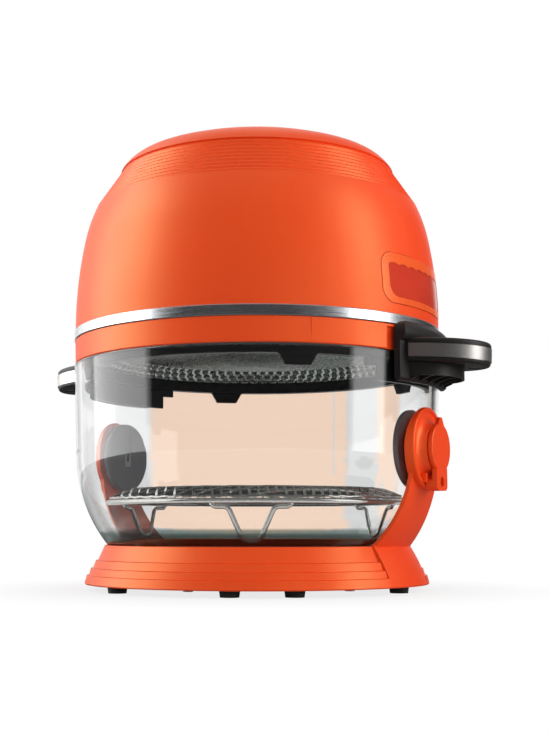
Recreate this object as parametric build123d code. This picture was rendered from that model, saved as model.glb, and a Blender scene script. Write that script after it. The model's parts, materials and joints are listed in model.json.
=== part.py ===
from build123d import *
import os
from math import acos, asin, cos, degrees, pi, radians, sin, sqrt

# Glass bowl air fryer: a round glass bowl stands in a stepped base between two arms,
# and a dome-shaped head with the heater and fan rests on the rim of the bowl.
# Millimetres. Origin at the centre of the footprint, level with the underside of the feet.
# +Z is up, the control panel and front handle face -Y, the other handle faces +Y.

# Glass bowl
rim_z = 169.0
rim_radius = 140.5
glass_wall = 5.0
bowl_floor_z = 10.0
side_centre = (25.6, 103.7)
side_radius = 112.4
seam_z = 32.0
bowl_seam = acos((side_centre[1] - seam_z) / side_radius)
corner_radius = (seam_z - bowl_floor_z) / (1 - cos(bowl_seam))
corner_centre = (
    side_centre[0] + (side_radius - corner_radius) * sin(bowl_seam),
    seam_z + corner_radius * cos(bowl_seam),
)

# Base
foot_height = 4.6
foot_radius = 7.2
foot_circle = 117.0
foot_angles = (0, 47.5, -47.5, 69, -69, 118, -118, 180)
screw_angles = tuple(5 + 60 * k for k in range(6))
arm_screw_places = ((-10, -111), (10, -111), (-10, 111), (10, 111))
plate_thickness = 2.5
base_bottom_z = 4.6
base_bottom_radius = 130.0
base_top_z = 33.4
flange_z = 7.3
flange_thickness = 3.0

# Arms, dishes and lock caps, one set at the front and the same turned to the rear
arm_half_width = 25.0
block_half_width = 32.0
arm_gap = 0.6
arm_thickness = 2.8
arm_belly = 0.8
arm_low_z = 32.6
spit_z = 102.4
dish_radius = 29.5
dish_front = 142.6
boss_front = 147.2
cap_radius = 17.5
cap_back = 147.6
cap_front = 151.4
tab_half_width = 10.0
tab_end = 30.2
eyelet_drop = 24.0
stem_radius = 6.2
running_gap = 0.08
holder_back = 127.8
holder_front = 123.4
holder_radius = 28.0
hub_back = 131.6
cavity_depths = (127.4, 130.0)

# Rack
hoop_radius = 112.4
hoop_z = 65.0
wire_radius = 1.6
leg_angles = (-62.0, 58.0, 178.0)
leg_half_span = 15.7
leg_end_reach = 12.0
leg_tip_z = 25.8
leg_tip_radius = 106.4
leg_bends = (5.0, 8.2, 5.0)
tray_top_z = 74.5
tray_flat_radius = 96.0
tray_thickness = 1.4

# Head
skirt_bottom_z = 169.3
skirt_top_z = 187.0
band_top_z = 194.8
band_radius = 140.9
dome_wall_centre = (-201.8, 200.0)
dome_wall_radius = 342.0
dome_wall_top_z = 263.0
shoulder_radius = 123.0
rib_bottom_z = 291.4
rib_top = (106.2, 320.2)
rib_count = 9
rib_depth = 0.9
cap_edge = (107.2, 320.8)
cap_break = (93.3, 332.5)
apex_z = 350.0
shell_thickness = 2.8
panel_z = (202.0, 239.0)
panel_half_width = 51.4
window_z = (207.0, 231.5)
window_half_width = 44.4
lobe_count = 8
lobe_height = 1.5
guard_bottom_z = 163.0
tab_bottom_z = 154.8
tab_angles = (-48, 52, 132, -128)
drop_bottom_z = 147.4
drop_step_z = 157.6
drop_half_angles = (21.0, 25.5)
guard_flat_z = 180.0
pan_radius = 122.5
pan_top_z = 219.0
element_z = 189.5

# Handles
handle_half_angle = 17.8
handle_width = 86.0
handle_droop = 3.0
plate_reach = 47.0
plate_half_width = 37.0
plate_root = 141.0
plate_z = (158.7, 175.7)
band_z = (161.9, 171.3)
plate_split_z = 166.8
collar_z = (147.5, 190.0)
shell_split_z = 169.4

rear_turn = Rot(0, 0, 180)
upwards = (Align.CENTER, Align.CENTER, Align.MIN)


# Closed flat face from a start point and moves; a move is an end point, or (mid point, end point) for an arc
def outline(start, *moves):
    edges = []
    here = start
    for move in moves:
        if isinstance(move[0], tuple):
            edges.append(ThreePointArc(here, move[0], move[1]))
            here = move[1]
        else:
            edges.append(Line(here, move))
            here = move
    if abs(here[0] - start[0]) + abs(here[1] - start[1]) > 1e-6:
        edges.append(Line(here, start))
    return make_face(edges)


# Turns an (r, z) face about the upright axis, whole or as a sector centred on the front
def lathe(face, half_angle=None):
    upright = Plane.XZ * face
    if half_angle is None:
        return revolve(upright, Axis.Z)
    return Rot(0, 0, -90 - half_angle) * revolve(upright, Axis.Z, 2 * half_angle)


def ring(r_in, r_out, z_low, z_high):
    height = z_high - z_low
    disc = Pos(0, 0, z_low) * Cylinder(r_out, height, align=upwards)
    if r_in <= 0:
        return disc
    hole = Pos(0, 0, z_low - 1) * Cylinder(r_in, height + 2, align=upwards)
    return disc - hole


# Solid bar standing on the front of the object, from depth near to depth far along -Y
def front_bar(face, near, far):
    return Pos(0, -near, 0) * extrude(Plane.XZ * face, amount=far - near)


# Turned piece about the spit axis: (rho, d) with d the depth along -Y
def spit_turned(face):
    spit_plane = Plane(origin=(0, 0, spit_z), x_dir=(1, 0, 0), z_dir=(0, 0, -1))
    return revolve(spit_plane * face, Axis((0, 0, spit_z), (0, -1, 0)))


def block(x, y, z, size):
    return Pos(x, y, z) * Box(*size)


def sum_of(pieces):
    total = Part()
    for piece in pieces:
        total += piece
    return total


# Points on the bowl's outer surface, pushed outwards by offset; angle is measured from straight down
def corner_point(angle, offset):
    radius = corner_radius + offset
    return (corner_centre[0] + radius * sin(angle), corner_centre[1] - radius * cos(angle))


def side_point(angle, offset):
    radius = side_radius + offset
    return (side_centre[0] + radius * sin(angle), side_centre[1] - radius * cos(angle))


def make_glass_bowl():
    mid_corner = bowl_seam / 2
    mid_side = (bowl_seam + pi / 2) / 2
    inner = -glass_wall
    lip = 1.4
    face = outline(
        (0, bowl_floor_z),
        corner_point(0, 0),
        (corner_point(mid_corner, 0), corner_point(bowl_seam, 0)),
        (side_point(mid_side, 0), side_point(pi / 2, 0)),
        (rim_radius, rim_z - lip),
        ((rim_radius - 0.41, rim_z - 0.41), (rim_radius - lip, rim_z)),
        (rim_radius - glass_wall + lip, rim_z),
        ((rim_radius - glass_wall + 0.41, rim_z - 0.41), (rim_radius - glass_wall, rim_z - lip)),
        side_point(pi / 2, inner),
        (side_point(mid_side, inner), side_point(bowl_seam, inner)),
        (corner_point(mid_corner, inner), corner_point(0, inner)),
        (0, bowl_floor_z + glass_wall),
    )
    bowl = lathe(face)
    bore = Pos(0, 0, spit_z) * (Rot(90, 0, 0) * Cylinder(9.0, 2 * rim_radius + 20))
    return bowl - bore


def make_base_ring():
    step = 1.7
    face = outline(
        (126.8, base_bottom_z),
        (base_bottom_radius - 0.6, base_bottom_z),
        (base_bottom_radius, base_bottom_z + 0.8),
        (128.5, 11.2),
        (128.5 - step, 11.6),
        (125.5, 16.4),
        (125.5 - step, 16.8),
        (121.9, 22.2),
        (121.9 - step, 22.6),
        (115.6, 32.9),
        ((115.2, 33.3), (114.8, base_top_z)),
        (114.1, base_top_z),
        (117.3, 22.6),
        (123.2, flange_z + flange_thickness),
        (107.0, flange_z + flange_thickness),
        (107.0, flange_z),
        (126.8, flange_z),
    )
    shell = lathe(face)
    for angle in screw_angles:
        shell -= screw_place(angle) * Pos(0, 0, flange_z) * Cylinder(1.95, 12)
    for x, y in arm_screw_places:
        shell -= Pos(x, y, flange_z) * Cylinder(1.7, 12)
    width = 2 * block_half_width + 0.7
    pocket_top = Box(width, 320, 40, align=upwards)
    upper = Pos(0, 0, flange_z + flange_thickness + 0.05) * pocket_top
    outer = pocket_top - ring(0, 119.0, -1, 60)
    return shell - upper - outer


def make_base_plate():
    plate = ring(0, 126.4, base_bottom_z, base_bottom_z + plate_thickness)
    for angle in foot_angles:
        plate -= foot_place(angle) * Pos(0, 0, base_bottom_z) * Cylinder(3.1, 12)
    for angle in screw_angles:
        plate -= screw_place(angle) * Pos(0, 0, base_bottom_z) * Cylinder(2.1, 12)
    return plate


def foot_place(angle):
    return Rot(0, 0, angle - 90) * Pos(foot_circle, 0, 0)


def screw_place(angle):
    return Rot(0, 0, angle) * Pos(111.0, 0, 0)


# Rubber feet: a tapered pad below the plate and a plug pressed up through it
def make_rubber_feet():
    pad = Cone(foot_radius - 0.7, foot_radius, foot_height, align=upwards)
    plug = Pos(0, 0, foot_height) * Cylinder(3.0, plate_thickness + 0.1, align=upwards)
    foot = pad + plug
    return sum_of(foot_place(angle) * foot for angle in foot_angles)


def make_base_screws():
    head = Pos(0, 0, base_bottom_z - 1.6) * Cylinder(3.4, 1.6, align=upwards)
    cross = Pos(0, 0, base_bottom_z - 1.6) * (Box(3.6, 0.8, 1.6) + Box(0.8, 3.6, 1.6))
    shank = Pos(0, 0, base_bottom_z) * Cylinder(1.9, 5.4, align=upwards)
    screw = head + shank - cross
    arm_top = flange_z + flange_thickness + 2.75
    arm_head = Pos(0, 0, arm_top) * Cylinder(3.2, 1.8, align=upwards)
    arm_shank = Pos(0, 0, flange_z + 0.1) * Cylinder(1.6, arm_top - flange_z, align=upwards)
    arm_screws = sum_of(Pos(x, y, 0) * (arm_head + arm_shank) for x, y in arm_screw_places)
    return sum_of(screw_place(angle) * screw for angle in screw_angles) + arm_screws


# Dark seat that carries the glass: a dish that follows the round bottom corner of the bowl
def make_bowl_seat():
    gap = 0.3
    thick = 2.2
    last = radians(44.0)
    face = outline(
        (34.0, bowl_floor_z - gap),
        corner_point(0, gap),
        (corner_point(last / 2, gap), corner_point(last, gap)),
        corner_point(last, gap + thick),
        (corner_point(last / 2, gap + thick), corner_point(0, gap + thick)),
        (34.0, bowl_floor_z - gap - thick),
    )
    seat = lathe(face)
    under = gap + thick - 0.4
    bowl_room = outline(
        (0, 40),
        (0, 7.5),
        corner_point(0, under),
        (corner_point(last / 2, under), corner_point(last, under)),
        (112, 40),
    )
    skirt = ring(96.0, 98.2, flange_z - 0.1, 22.0) - lathe(bowl_room)
    return seat + skirt


# One arm: foot block on the base, curved strap that follows the bowl, and the dish
def make_arm():
    inner = arm_gap
    outer = arm_gap + arm_thickness
    first = acos((side_centre[1] - arm_low_z) / (side_radius + outer))
    middle = (first + pi / 2) / 2
    lean = (rim_radius - side_centre[0] - side_radius) / (rim_z - side_centre[1])
    top_z = spit_z + dish_radius + 4
    top_shift = lean * (top_z - side_centre[1])
    skin = lathe(
        outline(
            side_point(first, inner),
            (side_point(middle, inner + arm_belly), side_point(pi / 2, inner)),
            side_point(pi / 2, outer),
            (side_point(middle, outer + arm_belly), side_point(first, outer)),
        ),
        20,
    )
    strap_shape = outline(
        (-arm_half_width + 1.5, 110.0),
        ((-arm_half_width, 60.0), (-block_half_width + 0.6, 31.0)),
        (-block_half_width + 0.6, 26.0),
        (block_half_width - 0.6, 26.0),
        (block_half_width - 0.6, 31.0),
        ((arm_half_width, 60.0), (arm_half_width - 1.5, 110.0)),
    )
    strap = skin & front_bar(strap_shape, 80, 170)

    # foot block, level with the base steps, with a tongue that lies on the base flange
    top = side_point(first, outer)
    foot = lathe(
        outline(
            (top[0] - 1.7, top[1] + 2.1),
            (top[0] + 0.5, top[1] + 1.2),
            (top[0] + 0.2, top[1] - 0.1),
            ((125.1, 18.2), (129.9, base_bottom_z + 0.8)),
            (129.3, base_bottom_z),
            (127.2, base_bottom_z),
            ((121.4, 18.5), (115.4, 27.0)),
        ),
        20,
    )
    foot &= front_bar(Pos(0, 20) * Rectangle(2 * block_half_width, 60), 80, 170)
    tongue_z = flange_z + flange_thickness + 0.1
    tongue = front_bar(Pos(0, tongue_z + 1.3) * Rectangle(48, 2.6), 107.0, 124.0)
    for x in (-10, 10):
        tongue -= Pos(x, -111.0, tongue_z) * Cylinder(1.7, 10)
    webs = [
        front_bar(Pos(x, tongue_z + 4.0) * Rectangle(2.4, 8.0), 117.0, 122.0) for x in (-18, 0, 18)
    ]
    foot += tongue
    for web in webs:
        foot += web

    # round dish with a rolled rim and a hollow that rises to a boss behind the cap
    dish = spit_turned(
        outline(
            (0, 130.0),
            (dish_radius, 130.0),
            (dish_radius, dish_front - 1.6),
            ((dish_radius - 0.5, dish_front - 0.4), (dish_radius - 1.7, dish_front)),
            ((dish_radius - 2.9, dish_front - 0.4), (dish_radius - 3.4, dish_front - 1.4)),
            ((21.6, dish_front - 0.8), (17.6, boss_front - 0.9)),
            ((17.2, boss_front - 0.2), (16.4, boss_front)),
            (0, boss_front),
        )
    )
    bowl_start = radians(60)
    bowl_middle = (bowl_start + pi / 2) / 2
    bowl_space = lathe(
        outline(
            (0, side_point(bowl_start, inner)[1]),
            side_point(bowl_start, inner),
            (side_point(bowl_middle, inner), side_point(pi / 2, inner)),
            (side_point(pi / 2, inner)[0] + top_shift, top_z),
            (0, top_z),
        )
    )
    arm = strap + foot + (dish - bowl_space)

    # stop beside the cap's tab
    stop_x = -tab_half_width - 2.5
    stop = front_bar(Pos(stop_x, spit_z - 21.5) * Rectangle(4.0, 6.5), dish_front - 3.0, dish_front + 2.4)
    arm += stop
    bore = Pos(0, -140, spit_z) * (Rot(90, 0, 0) * Cylinder(stem_radius + running_gap, 60))
    return arm - bore


# Turning lock cap: disc with a pointer, a tab with an eyelet, and a stem with two lugs behind the holder
def make_lock_cap():
    disc = spit_turned(
        outline(
            (0, cap_back),
            (cap_radius - 0.8, cap_back),
            (cap_radius, cap_back + 0.8),
            (cap_radius, cap_front - 1.2),
            ((cap_radius - 0.35, cap_front - 0.35), (cap_radius - 1.2, cap_front)),
            (0, cap_front),
        )
    )
    pointer = front_bar(
        outline((-6.0, spit_z + 15.5), (6.0, spit_z + 15.5), (1.6, spit_z + 21.8), (-1.6, spit_z + 21.8)),
        cap_back + 0.8,
        cap_front,
    )
    tab_top = 12.0
    tab_middle = spit_z - (tab_top + tab_end) / 2
    tab_shape = Pos(0, tab_middle) * RectangleRounded(2 * tab_half_width, tab_end - tab_top, 4.2)
    tab = front_bar(tab_shape, cap_back + 0.4, cap_front)
    block_top = 21.0
    block_middle = spit_z - (block_top + tab_end) / 2
    block_shape = Pos(0, block_middle) * RectangleRounded(2 * tab_half_width, tab_end - block_top, 4.2)
    tab_block = front_bar(block_shape, dish_front + 0.5, cap_back + 0.5)
    eyelet_shape = Rectangle(6.0, 1.0) + Pos(0, 0.5) * Circle(3.0) + Pos(0, -0.5) * Circle(3.0)
    eyelet = front_bar(Pos(0, spit_z - eyelet_drop) * eyelet_shape, 140, 160)
    stem_end = cavity_depths[0] + 0.2
    stem_start = cap_back + 0.5
    stem = Pos(0, -(stem_start + stem_end) / 2, spit_z) * (
        Rot(90, 0, 0) * Cylinder(stem_radius, stem_start - stem_end)
    )
    lug_depth = (cavity_depths[0] + cavity_depths[1]) / 2
    lugs = Pos(0, -lug_depth, spit_z) * Box(4.6, cavity_depths[1] - cavity_depths[0] - 0.4, 20.4)
    return disc + pointer + tab + tab_block - eyelet + stem + lugs


# Dark spit holder on the inside of the glass, with a hub through which the stem's lugs pass
def make_spit_holder():
    body = spit_turned(
        outline(
            (0, holder_front),
            (holder_radius - 2.4, holder_front),
            ((holder_radius - 0.7, holder_front + 0.7), (holder_radius, holder_front + 2.4)),
            (holder_radius, holder_back),
            (12.4, holder_back),
            (12.4, hub_back),
            (0, hub_back),
        )
    )
    cavity_low, cavity_high = cavity_depths
    cavity = spit_turned(outline((0, cavity_low), (11.0, cavity_low), (11.0, cavity_high), (0, cavity_high)))
    bore = Pos(0, -cavity_low - 5, spit_z) * (Rot(90, 0, 0) * Cylinder(stem_radius + running_gap, 10))
    key_slot = front_bar(Pos(0, spit_z) * Rectangle(21.0, 5.2), cavity_low, 140)
    way_shape = Pos(0, spit_z + holder_radius / 2 + 2) * Rectangle(9.5, holder_radius + 6)
    spit_way = front_bar(way_shape, holder_front - 1, holder_front + 2.0)
    seat = front_bar(Pos(0, spit_z - 1.5) * Rectangle(8.7, 10.9), holder_front - 1, holder_front + 2.6)
    return body - cavity - bore - key_slot - spit_way - seat


# Light U-shaped bearings that carry the ends of a spit, one in each holder
def make_spit_bearing():
    fork = Rectangle(8.5, 10.7) - Pos(0, 2.6) * Rectangle(3.6, 7.0)
    return front_bar(Pos(0, spit_z - 1.5) * fork, holder_front + 0.2, holder_front + 2.6)


def make_bowl_bush():
    return spit_turned(outline((6.6, hub_back), (8.9, hub_back), (8.9, 137.8), (6.6, 137.8)))


def both_ends(piece):
    return piece + rear_turn * piece


# Rack: hoop, three bent wire legs and a crowned lattice top
def make_rack_hoop():
    return Pos(0, 0, hoop_z) * Torus(hoop_radius, wire_radius + 0.4)


def make_rack_leg():
    top_z = hoop_z - 2 * wire_radius - 0.6
    lie = hoop_radius - 0.6
    tip = (0, leg_tip_radius, leg_tip_z)
    end_x = leg_half_span + leg_end_reach
    path = FilletPolyline(
        (-end_x, lie - 3.6, top_z),
        (-leg_half_span, lie - 1.2, top_z),
        tip,
        (leg_half_span, lie - 1.2, top_z),
        (end_x, lie - 3.6, top_z),
        radius=leg_bends,
    )
    start = path @ 0
    heading = path % 0
    section = Plane(origin=start, z_dir=heading) * RegularPolygon(wire_radius * 1.05, 8)
    return Rot(0, 0, 180) * sweep(section, path=path)


def make_rack_legs():
    leg = make_rack_leg()
    return sum_of(Rot(0, 0, angle) * leg for angle in leg_angles)


def make_rack_top():
    edge = hoop_radius - 0.2
    low = hoop_z + wire_radius + 0.5
    face = outline(
        (0, tray_top_z - tray_thickness),
        (tray_flat_radius - 1, tray_top_z - tray_thickness),
        (edge - 2.0, low),
        (edge, low),
        (edge, low + tray_thickness),
        (tray_flat_radius, tray_top_z),
        (0, tray_top_z),
    )
    tray = lathe(face)
    pitch_x, pitch_y = 21.0, 12.2
    holes = []
    for row in range(-9, 10):
        for column in range(-6, 7):
            x = pitch_x * (column + 0.5 * (row % 2))
            y = pitch_y * row
            if sqrt(x * x + y * y) < 99.0:
                holes.append(Pos(x, y) * Polygon((-8.6, 0), (0, -9.4), (8.6, 0), (0, 9.4), align=None))
    cutters = extrude(Sketch() + holes, amount=40)
    return tray - Pos(0, 0, hoop_z - 10) * cutters


# Points on the dome's outer skin
def wall_radius_at(z, offset=0.0):
    return dome_wall_centre[0] + sqrt((dome_wall_radius + offset) ** 2 - (z - dome_wall_centre[1]) ** 2)


def shoulder_centre():
    reach = dome_wall_radius - shoulder_radius
    share_x = (wall_radius_at(dome_wall_top_z) - dome_wall_centre[0]) / dome_wall_radius
    share_z = (dome_wall_top_z - dome_wall_centre[1]) / dome_wall_radius
    return (dome_wall_centre[0] + reach * share_x, dome_wall_centre[1] + reach * share_z)


def shoulder_radius_at(z, offset=0.0):
    centre = shoulder_centre()
    return centre[0] + sqrt((shoulder_radius + offset) ** 2 - (z - centre[1]) ** 2)


def cap_radius_of_curve():
    drop = apex_z - cap_break[1]
    return (cap_break[0] ** 2 + drop**2) / (2 * drop)


# Saw-tooth ribs from the shoulder up to the edge of the cap
def rib_moves():
    low = (shoulder_radius_at(rib_bottom_z), rib_bottom_z)
    run = (rib_top[0] - low[0], rib_top[1] - low[1])
    length = sqrt(run[0] ** 2 + run[1] ** 2)
    inward = (-run[1] / length * rib_depth, run[0] / length * rib_depth)
    moves = []
    for k in range(rib_count):
        notch = k / rib_count
        land = (k + 0.42) / rib_count
        moves.append((low[0] + run[0] * notch + inward[0], low[1] + run[1] * notch + inward[1]))
        moves.append((low[0] + run[0] * land, low[1] + run[1] * land))
    moves.append(rib_top)
    return moves


def wall_arc(z_low, z_high, offset):
    middle = (z_low + z_high) / 2
    return ((wall_radius_at(middle, offset), middle), (wall_radius_at(z_high, offset), z_high))


def make_dome_shell():
    inset = -shell_thickness
    curve = cap_radius_of_curve()
    centre_z = apex_z - curve
    inner_curve = curve - shell_thickness
    inner_break = 92.6
    inner_break_z = centre_z + sqrt(inner_curve**2 - inner_break**2)
    mid_shoulder = (dome_wall_top_z + rib_bottom_z) / 2
    cap_mid = cap_break[0] / 2
    face = outline(
        (wall_radius_at(band_top_z + 0.1), band_top_z + 0.1),
        wall_arc(band_top_z + 0.1, dome_wall_top_z, 0),
        ((shoulder_radius_at(mid_shoulder), mid_shoulder), (shoulder_radius_at(rib_bottom_z), rib_bottom_z)),
        *rib_moves(),
        cap_edge,
        ((101.3, 327.7), cap_break),
        ((cap_mid, centre_z + sqrt(curve**2 - cap_mid**2)), (0, apex_z)),
        (0, apex_z - shell_thickness),
        ((cap_mid, centre_z + sqrt(inner_curve**2 - cap_mid**2)), (inner_break, inner_break_z)),
        (rib_top[0] - 2.6, rib_top[1] - 2.6),
        (shoulder_radius_at(rib_bottom_z, inset) - 0.3, rib_bottom_z - 0.6),
        (
            (shoulder_radius_at(mid_shoulder, inset), mid_shoulder),
            (wall_radius_at(dome_wall_top_z, inset), dome_wall_top_z),
        ),
        wall_arc(dome_wall_top_z, 200.0, inset),
        (134.9, 197.5),
        (134.9, skirt_top_z + 0.1),
        (137.9, skirt_top_z + 0.1),
        (137.9, band_top_z + 0.1),
    )
    shell = lathe(face)
    panel_hole = front_bar(panel_shape(0.0), 100, 170)
    vent_hole = rear_turn * front_bar(vent_shape(0.0), 100, 170)
    gland_hole = gland_place() * Cylinder(8.1, 40)
    return shell - panel_hole - vent_hole - gland_hole


def panel_shape(inset):
    height = panel_z[1] - panel_z[0]
    middle = (panel_z[0] + panel_z[1]) / 2
    width = 2 * (panel_half_width - inset)
    return Pos(0, middle) * RectangleRounded(width, height - 2 * inset, 11.0 - inset)


# Window outline: round lower corners and a row of shallow lobes along the top edge
def window_shape(inset):
    left = -window_half_width + inset
    low = window_z[0] + inset
    lobe_base = window_z[1] - lobe_height
    pitch = 2 * (window_half_width - inset) / lobe_count
    corner = 9.0
    moves = []
    for k in range(lobe_count):
        start_x = left + k * pitch
        moves.append(((start_x + pitch / 2, window_z[1] - inset), (start_x + pitch, lobe_base - inset)))
    diagonal = corner * (1 - sqrt(0.5))
    return outline(
        (left, lobe_base - inset),
        *moves,
        (-left, low + corner),
        ((-left - diagonal, low + diagonal), (-left - corner, low)),
        (left + corner, low),
        ((left + diagonal, low + diagonal), (left, low + corner)),
    )


# Curved skin of the dome's upright wall between two offsets from its outer face
def wall_skin(inner, outer, z_low, z_high, half_angle):
    return lathe(
        outline(
            (wall_radius_at(z_low, inner), z_low),
            (wall_radius_at(z_low, outer), z_low),
            wall_arc(z_low, z_high, outer),
            (wall_radius_at(z_high, inner), z_high),
            wall_arc(z_high, z_low, inner),
        ),
        half_angle,
    )


def make_panel_bezel():
    skin = wall_skin(-3.0, 0.35, 198, 242, 26)
    bezel = skin & front_bar(panel_shape(0.35), 100, 170)
    recess = wall_skin(-1.2, 5.0, 198, 242, 26) & front_bar(window_shape(0.0), 100, 170)
    return bezel - recess


def make_panel_window():
    skin = wall_skin(-1.15, 0.1, 198, 242, 26)
    return skin & front_bar(window_shape(0.2), 100, 170)


def make_control_board():
    board = block(0, -124.5, 220, (76, 1.6, 32))
    display = block(0, -127.1, 216, (46, 3.4, 14))
    keys = sum_of(block(x, -126.4, 230.5, (5.4, 2.2, 5.4)) for x in (-30, -18, -6, 6, 18, 30))
    chip = block(14, -122.7, 220, (11, 2.0, 11))
    plug = block(-22, -121.2, 212, (16, 5.0, 6))
    return board + display + keys + chip + plug


def vent_shape(inset):
    return Pos(0, 226) * RectangleRounded(2 * (42 - inset), 2 * (17 - inset), 8 - inset)


# Louvred exhaust grille in the rear of the dome
def make_rear_vent():
    skin = wall_skin(-2.8, 0.25, 200, 250, 22)
    frame = skin & front_bar(vent_shape(0.25), 100, 170)
    for k in range(6):
        slot_z = 226 - 12.5 + 5.0 * k
        half = 36 if 0 < k < 5 else 31
        frame -= front_bar(Pos(0, slot_z) * RectangleRounded(2 * half, 2.4, 1.15), 100, 170)
    return rear_turn * frame


# Place of the cord inlet: low on the rear, to one side of the vent, its axis pointing outwards
def gland_place():
    return Rot(0, 0, 90 - 27) * Pos(139.0, 0, 207.0) * Rot(0, 90, 0)


def make_cord_inlet():
    collar = Cylinder(8.0, 9.0) + Pos(0, 0, -3.6) * Cylinder(10.0, 1.8)
    return gland_place() * Pos(0, 0, -1.6) * (collar - Cylinder(3.6, 40))


def make_trim_band():
    return lathe(
        outline(
            (138.1, skirt_top_z + 0.1),
            (band_radius - 0.5, skirt_top_z + 0.1),
            (band_radius, skirt_top_z + 0.7),
            (band_radius, band_top_z - 0.6),
            (band_radius - 0.5, band_top_z),
            (138.1, band_top_z),
        )
    )


def make_skirt_ring():
    lip = skirt_bottom_z + 3.0
    face = outline(
        (130.8, skirt_bottom_z),
        (139.2, skirt_bottom_z),
        (139.7, skirt_bottom_z + 0.6),
        (140.2, skirt_top_z - 0.4),
        (139.8, skirt_top_z),
        (126.0, skirt_top_z),
        (126.0, skirt_top_z - 2.6),
        (136.8, skirt_top_z - 2.6),
        (136.6, lip),
        (130.8, lip),
    )
    skirt = lathe(face)
    pocket_face = outline((138.2, 168), (145, 168), (145, 185.2), (138.2, 185.2))
    pocket = lathe(pocket_face, handle_half_angle + 2.2)
    seam = Pos(140.2, 0, 178) * Box(1.0, 0.7, 40)
    skirt -= pocket
    skirt -= rear_turn * pocket
    for angle in (-135, -45, 45, 135):
        skirt -= Rot(0, 0, angle) * seam
    return skirt


# Black ring that drops inside the glass, with four hanging centring tabs
def make_guard_ring():
    ring_part = lathe(
        outline(
            (124.6, guard_bottom_z),
            (132.6, guard_bottom_z),
            (133.2, guard_bottom_z + 0.8),
            (133.2, skirt_bottom_z - 0.1),
            (130.4, skirt_bottom_z - 0.1),
            (130.4, 176.0),
            (127.6, 176.0),
            (127.6, 173.6),
            (124.6, 173.6),
        )
    )
    tab_skin = lathe(outline((129.0, tab_bottom_z), (132.4, tab_bottom_z), (132.6, guard_bottom_z + 1),
                             (129.0, guard_bottom_z + 1)), 9)
    tab_shape = outline(
        (-16.0, guard_bottom_z + 0.8),
        ((-12.8, guard_bottom_z - 0.9), (-11.6, guard_bottom_z - 3.0)),
        (-9.6, tab_bottom_z + 2.0),
        ((-8.9, tab_bottom_z + 0.5), (-7.4, tab_bottom_z)),
        (7.4, tab_bottom_z),
        ((8.9, tab_bottom_z + 0.5), (9.6, tab_bottom_z + 2.0)),
        (11.6, guard_bottom_z - 3.0),
        ((12.8, guard_bottom_z - 0.9), (16.0, guard_bottom_z + 0.8)),
    )
    tab = tab_skin & front_bar(tab_shape, 100, 160)
    for angle in tab_angles:
        ring_part += Rot(0, 0, angle) * tab

    # deeper stretch behind each handle, with a step at both ends
    for low_z, half_angle in zip((drop_bottom_z, drop_step_z), drop_half_angles):
        drop = lathe(outline((129.0, low_z), (132.4, low_z), (132.5, guard_bottom_z + 1),
                             (129.0, guard_bottom_z + 1)), half_angle)
        ring_part += both_ends(drop)
    return ring_part


# Perforated guard: a sloping border with large round holes and a flat middle with a lattice of hexagons
def make_guard_mesh():
    thick = 0.9
    flat_radius = 106.0
    face = outline(
        (0, guard_flat_z),
        (flat_radius, guard_flat_z),
        (121.0, 172.0),
        (124.4, 172.0),
        (124.4, 172.0 + thick),
        (121.4, 172.0 + thick),
        (flat_radius + 0.4, guard_flat_z + thick),
        (0, guard_flat_z + thick),
    )
    mesh = lathe(face)
    pitch = 21.0
    holes = []
    for row in range(-6, 7):
        for column in range(-6, 7):
            x = pitch * (column + 0.5 * (row % 2))
            y = pitch * sqrt(0.75) * row
            if sqrt(x * x + y * y) < flat_radius - 9.5:
                holes.append(Pos(x, y) * RegularPolygon(10.4, 6))
    cutters = Pos(0, 0, guard_flat_z - 5) * extrude(Sketch() + holes, amount=12)
    return mesh - cutters


# Bright heater pan: an upside-down bowl over the element and the impeller
def make_heater_pan():
    wall = 0.9
    rim = 173.2
    face = outline(
        (9.0, pan_top_z),
        (98.0, pan_top_z),
        ((106.0, pan_top_z - 3.0), (110.0, pan_top_z - 10.0)),
        (pan_radius, 184.0),
        (pan_radius, rim),
        (pan_radius + wall, rim),
        (pan_radius + wall, 184.4),
        (110.9, pan_top_z - 9.8),
        ((106.6, pan_top_z - 2.3), (98.2, pan_top_z + wall)),
        (9.0, pan_top_z + wall),
    )
    pan = lathe(face)
    for x in (-12, 12):
        pan -= Pos(x, 88, pan_top_z) * Cylinder(4.2, 12)
    return pan


# Heating element: one open loop of tube whose ends turn up through the pan
def make_heating_element():
    tube = 3.3
    loop = 88.0
    gap = asin(12.0 / loop)
    arc = Pos(0, 0, element_z) * CenterArc((0, 0), loop, 90 + degrees(gap), 360 - 2 * degrees(gap))
    start = arc @ 0
    heading = arc % 0
    body = sweep(Plane(origin=start, z_dir=heading) * RegularPolygon(tube, 10), path=arc)
    height = pan_top_z + 10 - element_z + tube
    for x in (-12, 12):
        y = sqrt(loop**2 - 12**2)
        body += Pos(x, y, element_z - tube) * Cylinder(tube, height, align=upwards)
    return body


def make_heater_clips():
    strap = block(88, 0, (element_z + pan_top_z) / 2 + 3.1, (1.2, 8, pan_top_z - element_z - 6.6))
    hook = block(88, 0, element_z + 5.6, (9.0, 8, 1.2)) + block(83.9, 0, element_z + 2.2, (0.9, 8, 6.4))
    hook += block(92.1, 0, element_z + 2.2, (0.9, 8, 6.4))
    clip = strap + hook
    return sum_of(Rot(0, 0, angle) * clip for angle in (-90, 0, 180))


# Fan impeller: a back plate with a hub and ten swept blades
def make_impeller():
    plate = Pos(0, 0, 213.5) * Cylinder(66, 1.2, align=upwards)
    hub = Pos(0, 0, 200) * Cylinder(10, 14, align=upwards)
    fan = plate + hub
    for k in range(10):
        blade = Rot(0, 0, 36 * k) * Pos(41, 9, 0) * Rot(0, 0, 24) * block(0, 0, 205.6, (44, 1.2, 16.2))
        fan += blade
    return fan - Pos(0, 0, 200) * Cylinder(4.0, 60)


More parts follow.
